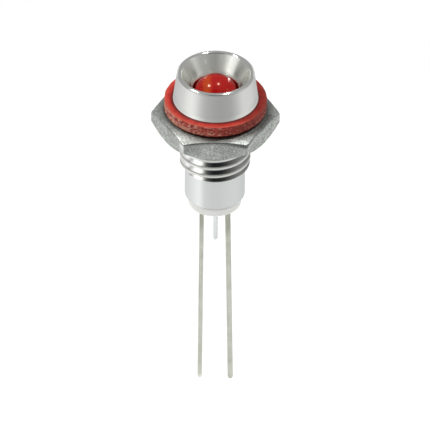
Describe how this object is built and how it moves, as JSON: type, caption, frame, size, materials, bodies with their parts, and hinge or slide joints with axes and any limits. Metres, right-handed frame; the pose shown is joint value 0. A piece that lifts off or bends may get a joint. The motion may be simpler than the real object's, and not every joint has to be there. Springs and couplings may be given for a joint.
{
  "type": "led indicator lamp",
  "caption": "Panel LED indicator lamp: turned chrome bezel with a reflector cone, red lens, fibre washer, hexagon nut on a fine thread, white rear plug and two bare leads.",
  "frame": {"origin": "centre of the head's seating face, on the lamp's axis", "axes": "+Z along the lamp's axis, out through the lens; the two leads lie in the XZ plane, the anode on +X; a flat of the nut faces -Y"},
  "size_m": [0.0144, 0.0126, 0.0428],
  "materials": {
    "chrome": "bright chrome plate on turned brass, satin in the reflector cone",
    "red_fibre": "red vulcanised fibre, smooth faces, rough punched edge with pale flecks",
    "dull_nickel": "dull nickel plate with a fine grain, brighter on the chamfers",
    "red_epoxy": "tinted clear red epoxy, polished",
    "tinned_lead": "dull tin plate on steel",
    "die": "semiconductor chip",
    "gold_wire": "drawn gold wire",
    "white_plastic": "natural white moulded plastic, slightly translucent"
  },
  "bodies": {
    "root": {"bezel": "chrome", "fibre_washer": "red_fibre", "hex_nut": "dull_nickel", "led_lens": "red_epoxy", "cathode_lead": "tinned_lead", "anode_lead": "tinned_lead", "led_die": "die", "bond_wire": "gold_wire", "retaining_plug": "white_plastic"}
  },
  "joints": []
}
